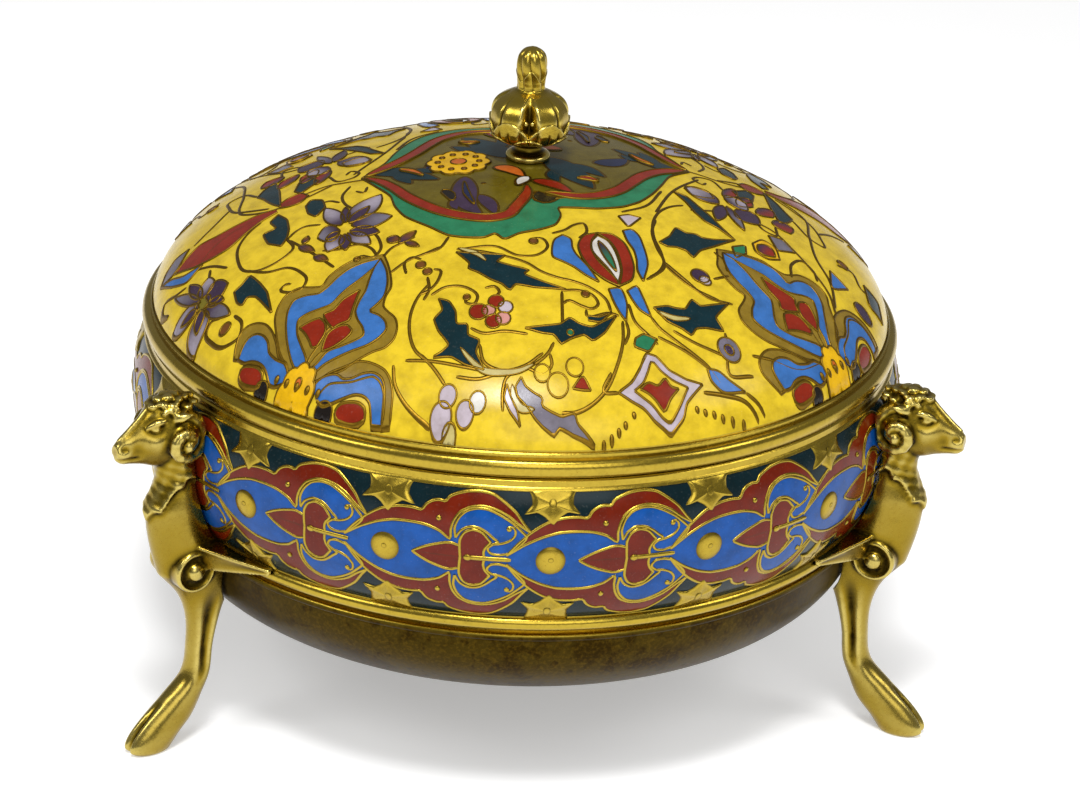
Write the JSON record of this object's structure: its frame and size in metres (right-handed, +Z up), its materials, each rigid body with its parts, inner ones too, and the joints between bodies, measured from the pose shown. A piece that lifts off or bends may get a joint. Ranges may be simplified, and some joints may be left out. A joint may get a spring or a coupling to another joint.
{
  "type": "enamelled bonbonniere",
  "caption": "Round champleve enamel box with a domed lid that lifts off, a bud finial and three gilt ram's-head legs that stand on cloven feet",
  "frame": {"origin": "on the table, under the middle of the whole piece's bounding box; the turned axis of bowl and lid stands 7.4 mm in front of it", "axes": "+Z up along the turned axis, -Y towards the viewer of the picture, +Y through the back leg, +X to the viewer's right"},
  "size_m": [0.1568, 0.165, 0.1248],
  "materials": {
    "gilt_bronze": "fire-gilt, satin with burnished high spots",
    "champleve_enamel": "glossy polished enamel"
  },
  "bodies": {
    "root": {"bowl": "gilt_bronze", "lid": "champleve_enamel", "finial": "gilt_bronze", "leg_front_left": "gilt_bronze", "leg_front_right": "gilt_bronze", "leg_back": "gilt_bronze"}
  },
  "joints": []
}
